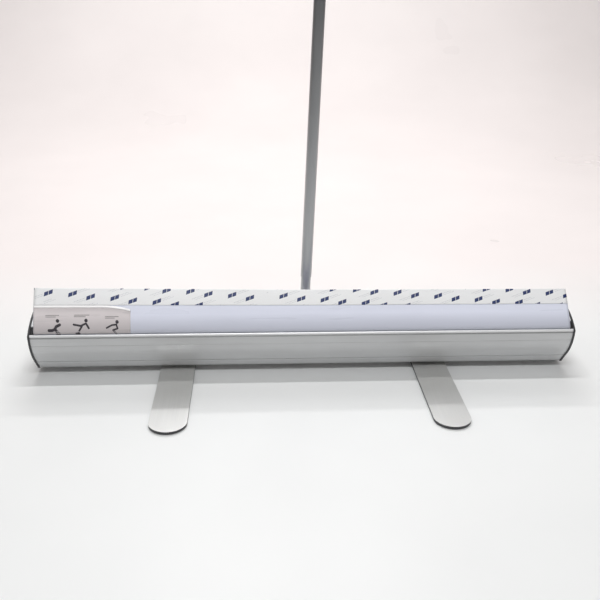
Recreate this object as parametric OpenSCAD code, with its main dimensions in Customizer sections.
// Roll-up banner stand: spring-roller cassette, two swing-out feet, telescopic pole and snap rail.
// Millimetres, +Z up, floor at z = 0, front towards -Y. The origin is the middle of the footprint.

/* [Base] */
// Overall length of the base, over its end caps
base_l = 872; // [700:1:1100]
// Half depth of the base at its lip
lip_y = 62; // [58:1:66]
// Radius of the top shell
top_r = 95; // [92:1:100]
// Radius of the bulging front and rear faces
face_r = 74; // [72:1:78]
// Height of the underside above the floor
belly_z = 9; // [8:0.5:12]
// Wall thickness of the extrusion
wall = 1.6; // [1.2:0.1:2]
// Thickness of an end cap
cap_t = 3; // [2:0.5:4]
// How far an end cap stands proud of the extrusion all round
cap_lip = 1.5; // [0.5:0.5:2]

/* [Banner leader] */
// Width of the leader film
film_w = 853; // [600:1:1000]
// Thickness of the leader film
film_t = 0.5; // [0.4:0.1:0.8]
// Length of film that stands out of the slot
film_out = 68; // [50:2:90]
// Width of the mounting tape along the film's top edge
tape_w = 24; // [12:2:30]
// Width of the instruction label
label_w = 150; // [80:1:200]

/* [Roller] */
// Outer diameter of the roller tube
roller_d = 34; // [28:1:34]
// Thickness of the film wound on the roller
wrap_t = 1.8; // [1:0.1:2]
// Number of turns shown on the torsion spring
spring_turns = 14; // [6:1:16]

/* [Feet] */
// Length of a foot, end to end
foot_l = 300; // [260:1:320]
// Width of a foot, which is also the diameter of its rounded ends
foot_w = 56; // [40:1:60]
// Thickness of a foot
foot_t = 4; // [3:0.5:4]
// Distance from the pivot to the front tip
foot_reach = 226; // [190:1:228]
// Distance of each pivot from the middle of the base
foot_x = 209; // [150:1:209]

/* [Pole] */
// Sideways lean of the pole in its socket, in degrees
lean = 1.8; // [0:0.1:2.5]
// Outer diameter of the lower tube
pole_d = 18; // [17.5:0.5:19]
// Outer diameter of the plug at the foot of the pole
plug_d = 16.2; // [16:0.1:16.4]
// Length of the lower tube
tube_l = 630; // [400:1:640]

/* [Top rail] */
// Length of the rail over its end caps
rail_l = 850; // [600:1:860]
// Height of the rail's back plate
rail_h = 30; // [26:1:34]

/* [Hidden] */
$fn = 96;
slack = 0.1;                          // radial running clearance
over = 1;                             // how far a cutter runs past a face

foot_rear = foot_l - foot_reach;      // pivot to the rear tip
base_y = (foot_reach - foot_rear) / 2; // centre plane of the base, seen from the footprint's middle
half_l = base_l / 2;
shell_l = base_l - 2 * cap_t;

// Cross-section: the top shell's arc passes through the lip corners.
lip_z = 80;
top_cz = lip_z - sqrt(top_r * top_r - lip_y * lip_y);
face_cy = face_r - lip_y;
tangent_a = 38;                       // where the face arc turns into the straight belly
turn_z = lip_z - face_r * sin(tangent_a);
turn_y = face_r * cos(tangent_a) - face_cy;
slot_edge_y = 46;                     // front edge of the top shell
slot_edge_z = shell_top(slot_edge_y);
web_y = 14;                           // inner wall between the roller and the pole
web_t = 1.4;

// Lines pressed along the front and rear faces, as [height, radius].
grooves = [[77, 0.9], [62.5, 0.35], [25, 0.9]];
lip_bead_r = 2.2;
lip_bead = [lip_bead_r - lip_y, lip_z - 0.4];

// Screw ports for the end caps, as [y, z].
port_r = 3.8;
port_bore = 1.6;
ports = [[0, 98.2], [-28.5, 18.5], [28.5, 18.5]];
cap_screw_l = 16;

core_t = 3.5;                         // thickness of the black core inside an end
core_fit = 0.2;
core_x = half_l - cap_t - core_t;     // inner face of a core

roller_y = -12;
roller_z = 56;
roller_wall = 1.5;
roller_x = [-427, 427];               // ends of the roller tube
plug_l = 24;
axle_d = 8;
shaft_d = 10;
shaft_l = 230;
wrap_r = roller_d / 2 + wrap_t;

film_x = -427;                        // left edge of the film
slot_p = [-57.4, 82];                 // where the film comes over the lip, as [y, z]
film_step = 2;
lean_in = -36;                        // lean of the film inside, towards the front
lean_low = 22;                        // lean just above the slot, towards the rear
lean_high = 37;                       // lean at the top edge
bend_n = 3;                           // steps taken to bend over the lip
film_n = floor(film_out / film_step);
film_in_l = 43;                       // from the slot down to the winding
tape_first = film_n - round(tape_w / film_step);
tape_t = 0.3;
liner_t = 0.25;
label_t = 0.3;

foot_z = 1;
pad_r = 12;
bolt_d = 8;
washer_r = 11;
nut_z = belly_z + wall;

socket_p = [0.6, 30, 34];             // bottom of the socket, seen from the base's centre plane
socket_l = 68;
socket_r = 10;
plug_top = 150;                       // along the pole from the socket's bottom
tube_start = 109;
tube_top = tube_start + tube_l;
tube_wall = 0.8;
mid_d = 13.6;
mid_start = plug_top + 2;
mid_top = tube_top + 30;
top_d = 11.2;
top_wall = 1.2;
top_start = mid_start + 2;
top_top = mid_top + 25;
collar_l = 28;
collar_r = 11.6;
guide_l = 12;

rail_x = 10;                          // middle of the rail
rail_cap_t = 2;
rail_y = socket_p[1] - 16;            // rear face of the rail's back plate
rail_z = 831;                         // bottom of the rail
rail_t = 2;
hook_z = rail_z - 9;                  // underside of the hook's arm
hook_x = socket_p[0] + (hook_z - socket_p[2]) * tan(lean);
tongue_t = 2.4;
channel_w = 4.5;                      // gap behind the rail's back plate that takes the tongue
jaw_r = 2;                            // bead of the jaw's hinge
jaw_z = rail_z + rail_h - 4;
jaw_y = rail_y - rail_t - 2.8;

aluminium = [0.78, 0.79, 0.80];
steel = [0.70, 0.71, 0.73];
black = [0.10, 0.10, 0.11];
film_c = [0.80, 0.86, 0.92];
white = [0.95, 0.95, 0.94];

// ---- helpers ----

function shell_top(y, inset = 0) = top_cz + sqrt(pow(top_r - inset, 2) - y * y);
function belly_half(z, inset = 0) =
    turn_y + tan(tangent_a) * (z - turn_z) - inset / cos(tangent_a);
function face_y(z) = z > turn_z
    ? sqrt(face_r * face_r - pow(z - lip_z, 2)) - face_cy : belly_half(z);

// Lean of the film at step i, counted from the slot.
function film_lean(i) = i < 0 ? lean_in
    : i < bend_n ? lean_in + (lean_low - lean_in) * (i + 0.5) / bend_n
    : lean_low + (lean_high - lean_low) * (i - bend_n) * film_step / film_out;
function film_dir(i) = [sin(film_lean(i)), cos(film_lean(i))];

// Points along the film from the slot up, and the same points moved off to its front.
film_points = [
    for (i = 0, p = slot_p; i <= film_n; p = p + film_step * film_dir(i), i = i + 1) p
];
function film_side(first, last, off) = [
    for (i = [first : last]) film_points[i] + off * [-cos(film_lean(i)), sin(film_lean(i))]
];
function reversed(v) = [for (i = [len(v) - 1 : -1 : 0]) v[i]];

module at_base() {
    translate([0, base_y, 0]) children();
}

// Extrudes a (y, z) outline along X, from x0 to x1.
module along_x(x0, x1) {
    translate([x0, 0, 0]) rotate([90, 0, 90]) linear_extrude(x1 - x0) children();
}

module rod_x(x0, x1, r) {
    translate([x0, 0, 0]) rotate([0, 90, 0]) cylinder(h = x1 - x0, r = r);
}

module at_roller() {
    at_base() translate([0, roller_y, roller_z]) children();
}

// Places children on the pole's leaning axis, with z measured from the socket's bottom.
module on_pole() {
    at_base() translate(socket_p) rotate([0, lean, 0]) children();
}

module cylinder_between(z0, z1, r) {
    translate([0, 0, z0]) cylinder(h = z1 - z0, r = r);
}

module tube(z0, z1, r_out, r_in) {
    translate([0, 0, z0]) difference() {
        cylinder(h = z1 - z0, r = r_out);
        translate([0, 0, -over]) cylinder(h = z1 - z0 + 2 * over, r = r_in);
    }
}

// ---- the base ----

// Closed outline of the base, drawn in from its skin by inset: the front and rear faces are arcs
// that run down into a straight-sided belly.
module section(inset) {
    bottom = belly_z + inset;
    turn = lip_z - (face_r - inset) * sin(tangent_a);
    intersection() {
        translate([0, top_cz]) circle(r = top_r - inset, $fn = 180);
        union() {
            intersection() {
                translate([face_cy, lip_z]) circle(r = face_r - inset, $fn = 180);
                translate([-face_cy, lip_z]) circle(r = face_r - inset, $fn = 180);
                translate([-lip_y - 10, turn]) square([2 * lip_y + 20, 100]);
            }
            polygon([
                [-belly_half(bottom, inset), bottom], [belly_half(bottom, inset), bottom],
                [belly_half(turn, inset), turn], [-belly_half(turn, inset), turn],
            ]);
        }
    }
}

module slot_cut(front, rear) {
    translate([-front, lip_z - 0.8]) square([front - rear, 30]);
}

module shell_outline() {
    difference() {
        section(0);
        section(wall);
        slot_cut(lip_y + 2, slot_edge_y);
        for (g = grooves, side = [-1, 1])
            translate([side * face_y(g[0]), g[0]]) circle(r = g[1], $fn = 24);
    }
    intersection() {
        section(wall / 2);
        for (p = ports) translate(p) difference() {
            circle(r = port_r, $fn = 48);
            circle(r = port_bore, $fn = 48);
        }
    }
    translate(lip_bead) circle(r = lip_bead_r, $fn = 48);
}

module housing() {
    color(aluminium) at_base() difference() {
        union() {
            along_x(-shell_l / 2, shell_l / 2) shell_outline();
            along_x(core_fit - core_x, core_x - core_fit) intersection() {
                section(wall / 2);
                translate([web_y, 0]) square([web_t, 120]);
            }
        }
        for (side = [-1, 1]) translate([side * foot_x, 0, 0]) cylinder(h = 20, d = bolt_d + 0.4);
        translate(socket_p) rotate([0, lean, 0]) cylinder(h = 90, r = socket_r);
    }
}

// Soft edging along the front edge of the top shell.
module slot_trim() {
    trim_y = -slot_edge_y;
    color(black) at_base() along_x(-core_x + 0.5, core_x - 0.5) difference() {
        translate([trim_y, slot_edge_z - wall / 2]) circle(r = 1.4, $fn = 48);
        translate([trim_y, 0]) square([10, 120]);
    }
}

module end_cap() {
    at_base() difference() {
        along_x(half_l - cap_t, half_l) section(-cap_lip);
        for (p = ports) translate([0, p[0], p[1]]) {
            rod_x(half_l - cap_t - over, half_l + over, 2.1);
            rod_x(half_l - 1.5, half_l + over, 3.6);
        }
    }
}

module end_cap_right() {
    color(black) end_cap();
}

module end_cap_left() {
    color(black) mirror([1, 0, 0]) end_cap();
}

// Black plate inside one end; it holds the roller's fixed axle.
module cap_core(axle_r) {
    difference() {
        at_base() along_x(core_x, half_l - cap_t) difference() {
            section(wall + core_fit);
            for (p = ports) translate(p) circle(r = port_r + core_fit, $fn = 48);
            translate(lip_bead) circle(r = lip_bead_r + core_fit, $fn = 48);
        }
        at_roller() rod_x(core_x - over, half_l, axle_r);
    }
}

module cap_core_right() {
    color(black) cap_core(shaft_d / 2);
}

module cap_core_left() {
    color(black) mirror([1, 0, 0]) cap_core(axle_d / 2);
}

module cap_screws() {
    at_base() for (p = ports) translate([0, p[0], p[1]]) {
        rod_x(half_l - cap_screw_l, half_l - 1.5, port_bore);
        difference() {
            rod_x(half_l - 1.5, half_l - 0.2, 3.4);
            rod_x(half_l - 1, half_l + over, 1.4, $fn = 6);
        }
    }
}

module cap_screws_right() {
    color(steel) cap_screws();
}

module cap_screws_left() {
    color(steel) mirror([1, 0, 0]) cap_screws();
}

// ---- the roller ----

module roller_tube() {
    color(aluminium) at_roller() difference() {
        rod_x(roller_x[0], roller_x[1], roller_d / 2);
        rod_x(roller_x[0] - over, roller_x[1] + over, roller_d / 2 - roller_wall);
    }
}

module roller_plug(x0, bore_r) {
    color(black) at_roller() difference() {
        rod_x(x0, x0 + plug_l, roller_d / 2 - roller_wall);
        rod_x(x0 - over, x0 + plug_l + over, bore_r);
    }
}

module roller_plug_left() {
    roller_plug(roller_x[0], axle_d / 2 + slack);
}

module roller_plug_right() {
    roller_plug(roller_x[1] - plug_l, shaft_d / 2 + slack);
}

module roller_axle() {
    color(steel) at_roller() rod_x(cap_t - half_l, roller_x[0] + plug_l - 2, axle_d / 2);
}

module spring_shaft() {
    color(steel) at_roller() rod_x(half_l - cap_t - shaft_l, half_l - cap_t, shaft_d / 2);
}

module spring_anchor() {
    x0 = half_l - cap_t - shaft_l + 4;
    color(black) at_roller() difference() {
        rod_x(x0, x0 + 8, 9);
        rod_x(x0 - over, x0 + 8 + over, shaft_d / 2);
    }
}

// Closed coil of square-cornered wire round the shaft.
module torsion_spring() {
    per_turn = 16;
    coil_r = 7.4;
    wire = 0.8;
    x0 = half_l - cap_t - shaft_l + 13;
    pitch = (roller_x[1] - plug_l - 2 - x0) / spring_turns;
    n = per_turn * spring_turns;
    corners = [[-wire, -wire], [wire, -wire], [wire, wire], [-wire, wire]];
    points = [
        for (i = [0 : n], c = corners)
            let (a = 360 * i / per_turn, r = coil_r + c[1])
                [x0 + wire + pitch * i / per_turn + c[0], r * cos(a), r * sin(a)]
    ];
    sides = [
        for (i = [0 : n - 1], c = [0 : 3])
            let (a = 4 * i + c, b = 4 * i + (c + 1) % 4) each [[a, b, b + 4], [a, b + 4, a + 4]]
    ];
    ends = [[2, 1, 0], [3, 2, 0], [4 * n, 4 * n + 1, 4 * n + 2], [4 * n, 4 * n + 2, 4 * n + 3]];
    color(steel) at_roller()
        polyhedron(points, concat(sides, ends));
}

// ---- the leader ----

module leader_wrap() {
    color(film_c) at_roller() difference() {
        rod_x(film_x, film_x + film_w, wrap_r);
        rod_x(film_x - over, film_x + film_w + over, roller_d / 2);
    }
}

module film_strip(first, last, off, t, w) {
    at_base() along_x(film_x, film_x + w)
        polygon(concat(film_side(first, last, off), reversed(film_side(first, last, off + t))));
}

module leader_film() {
    inner = slot_p - film_in_l * film_dir(-1);
    back = [cos(lean_in), -sin(lean_in)] * film_t / 2;
    color(film_c) at_base() along_x(film_x, film_x + film_w)
        polygon(concat(
            [inner + back], film_side(1, film_n, -film_t / 2),
            reversed(film_side(1, film_n, film_t / 2)), [inner - back]
        ));
}

module leader_tape() {
    color(film_c) film_strip(tape_first, film_n, film_t / 2, tape_t, film_w);
}

module tape_liner() {
    color(white) film_strip(tape_first, film_n, film_t / 2 + tape_t, liner_t, film_w);
}

module instruction_label() {
    color(film_c) film_strip(2, tape_first - 1, film_t / 2, label_t, label_w);
}

// ---- the feet ----

module foot(side) {
    color(aluminium) at_base() translate([side * foot_x, 0, foot_z]) difference() {
        linear_extrude(foot_t) union() {
            translate([-foot_w / 2, foot_w / 2 - foot_reach]) square([foot_w, foot_l - foot_w]);
            for (y = [foot_w / 2 - foot_reach, foot_rear - foot_w / 2])
                translate([0, y]) circle(d = foot_w);
        }
        translate([0, 0, -over]) cylinder(h = foot_t + 2 * over, d = bolt_d + 2 * slack);
        translate([0, 0, -over]) cylinder(h = over + 2.4, d = 17);
    }
}

module foot_left() {
    foot(-1);
}

module foot_right() {
    foot(1);
}

module foot_pads(side) {
    color(black) at_base() for (y = [foot_w / 2 - foot_reach, foot_rear - foot_w / 2])
        translate([side * foot_x, y, 0]) cylinder(h = foot_z, r = pad_r);
}

module foot_pads_left() {
    foot_pads(-1);
}

module foot_pads_right() {
    foot_pads(1);
}

module foot_bolts() {
    color(steel) at_base() for (side = [-1, 1]) translate([side * foot_x, 0, foot_z]) difference() {
        union() {
            cylinder(h = 2.2, d = 16);
            cylinder(h = nut_z + 7 - foot_z, d = bolt_d);
        }
        translate([0, 0, -over]) cylinder(h = over + 1.6, d = 5, $fn = 6);
    }
}

module foot_washers() {
    z0 = foot_z + foot_t;
    color(black) at_base() for (side = [-1, 1]) translate([side * foot_x, 0, 0])
        tube(z0, belly_z, washer_r, bolt_d / 2 + slack);
}

module foot_nuts() {
    color(steel) at_base() for (side = [-1, 1]) translate([side * foot_x, 0, nut_z]) difference() {
        cylinder(h = 6, r = 7, $fn = 6);
        translate([0, 0, -over]) cylinder(h = 6 + 2 * over, d = bolt_d);
    }
}

// ---- the pole ----

module pole_socket() {
    color(black) on_pole() {
        tube(0, socket_l, socket_r, plug_d / 2 + slack);
        translate([0, 0, -2]) cylinder(h = 2, r = socket_r);
    }
}

module pole_plug() {
    color(steel) on_pole() cylinder_between(0.3, plug_top, plug_d / 2);
}

module pole_lower_tube() {
    color(steel) on_pole() tube(tube_start, tube_top, pole_d / 2, plug_d / 2);
}

// Twist-lock collar with grip flutes, closed by a rim round the next section.
module collar(top, tube_r, inner_r) {
    rim = 4;
    flutes = 12;
    color(black) on_pole() difference() {
        translate([0, 0, top - collar_l + rim]) cylinder(h = collar_l, r = collar_r);
        translate([0, 0, top - collar_l]) cylinder(h = collar_l, r = tube_r + slack);
        translate([0, 0, top - collar_l]) cylinder(h = 2 * collar_l, r = inner_r + slack);
        for (i = [1 : flutes]) rotate([0, 0, 360 * i / flutes])
            translate([collar_r + 0.6, 0, top - collar_l]) cylinder(h = 2 * collar_l, r = 1.4, $fn = 24);
    }
}

module lower_collar() {
    collar(tube_top, pole_d / 2, mid_d / 2);
}

module mid_collar() {
    collar(mid_top, mid_d / 2, top_d / 2);
}

module mid_guide() {
    color(black) on_pole() difference() {
        cylinder_between(mid_start - 1, mid_start + guide_l, plug_d / 2 - slack);
        translate([0, 0, mid_start]) cylinder(h = guide_l + over, r = mid_d / 2);
        translate([0, 0, mid_start - 1 - over]) cylinder(h = 2 + over, r = 3);
    }
}

module pole_mid_tube() {
    color(steel) on_pole() tube(mid_start, mid_top, mid_d / 2, mid_d / 2 - tube_wall);
}

module top_guide() {
    color(black) on_pole() difference() {
        cylinder_between(top_start - 1, top_start + guide_l, mid_d / 2 - tube_wall - slack);
        translate([0, 0, top_start]) cylinder(h = guide_l + over, r = top_d / 2);
        translate([0, 0, top_start - 1 - over]) cylinder(h = 2 + over, r = 3);
    }
}

module pole_top_tube() {
    color(steel) on_pole() tube(top_start, top_top, top_d / 2, top_d / 2 - top_wall);
}

// Plastic cap on the pole whose tongue stands up behind the rail's back plate.
module pole_top_hook() {
    tongue_top = rail_z + rail_h - rail_t - 0.3;
    color(black) {
        on_pole() difference() {
            cylinder_between(top_top - 14, top_top + 8, 7.5);
            cylinder_between(top_top - 14 - over, top_top, top_d / 2);
        }
        at_base() translate([hook_x - 7, rail_y + 1, hook_z]) {
            cube([14, socket_p[1] - rail_y - 8, 10]);
            cube([14, tongue_t, tongue_top - hook_z]);
        }
    }
}

// ---- the snap rail ----

module rail_extrusion(gap = 0) {
    reach = rail_l / 2 - rail_cap_t - gap;
    at_base() along_x(rail_x - reach, rail_x + reach) children();
}

module rail_back() {
    top = rail_z + rail_h;
    lip_t = 1.5;
    knuckle_r = jaw_r + 1.3;
    color(aluminium) rail_extrusion() {
        translate([rail_y - rail_t, rail_z]) square([rail_t, rail_h]);
        translate([rail_y - rail_t, top - rail_t]) square([rail_t + channel_w + lip_t, rail_t]);
        translate([rail_y + channel_w, top - 14]) square([lip_t, 14]);
        translate([jaw_y, jaw_z]) difference() {
            union() {
                circle(r = knuckle_r, $fn = 48);
                translate([0, -jaw_r]) square([knuckle_r, jaw_r + knuckle_r]);
            }
            circle(r = jaw_r + slack, $fn = 48);
            polygon([[0, 0], for (a = [100, 175, 250]) 2 * knuckle_r * [cos(a), sin(a)]]);
        }
    }
}

// Front flap; its bead turns in the back plate's knuckle.
module rail_jaw() {
    flap_y = -4.6;
    flap_t = 1.4;
    color(aluminium) rail_extrusion(0.5) translate([jaw_y, 0]) {
        translate([0, jaw_z]) circle(r = jaw_r, $fn = 48);
        translate([flap_y + flap_t - 0.2, jaw_z - 1.3]) square([3, 1.2]);
        translate([flap_y, rail_z]) square([flap_t, jaw_z - rail_z + 0.1]);
        translate([flap_y, rail_z]) square([5.2, flap_t]);
    }
}

module rail_grip() {
    color(black) rail_extrusion()
        translate([rail_y - rail_t - 1.4, rail_z + 0.5]) square([1.4, 5]);
}

module rail_end_caps() {
    top = rail_z + rail_h;
    color(black) at_base() for (side = [-1, 1]) translate([rail_x, 0, 0])
        translate([side * (rail_l / 2 - rail_cap_t / 2) - rail_cap_t / 2, rail_y - 11, rail_z - 1])
            difference() {
                cube([rail_cap_t, 18, top - rail_z + 2]);
                translate([-over, 7, 9]) rotate([0, 90, 0]) cylinder(h = rail_cap_t + 2 * over, r = 1.2);
            }
}

module rail_screws() {
    color(steel) at_base() for (side = [-1, 1])
        translate([rail_x + side * rail_l / 2, rail_y - 4, rail_z + 8])
            rotate([0, -90 * side, 0]) cylinder(h = rail_cap_t, r = 1.2);
}

// ---- the assembly ----

housing();
end_cap_left();
end_cap_right();
cap_core_left();
cap_core_right();
cap_screws_left();
cap_screws_right();
slot_trim();
roller_tube();
roller_plug_left();
roller_plug_right();
roller_axle();
spring_shaft();
spring_anchor();
torsion_spring();
leader_wrap();
leader_film();
leader_tape();
tape_liner();
instruction_label();
foot_left();
foot_right();
foot_pads_left();
foot_pads_right();
foot_bolts();
foot_washers();
foot_nuts();
pole_socket();
pole_plug();
pole_lower_tube();
lower_collar();
mid_guide();
pole_mid_tube();
mid_collar();
top_guide();
pole_top_tube();
pole_top_hook();
rail_back();
rail_jaw();
rail_grip();
rail_end_caps();
rail_screws();
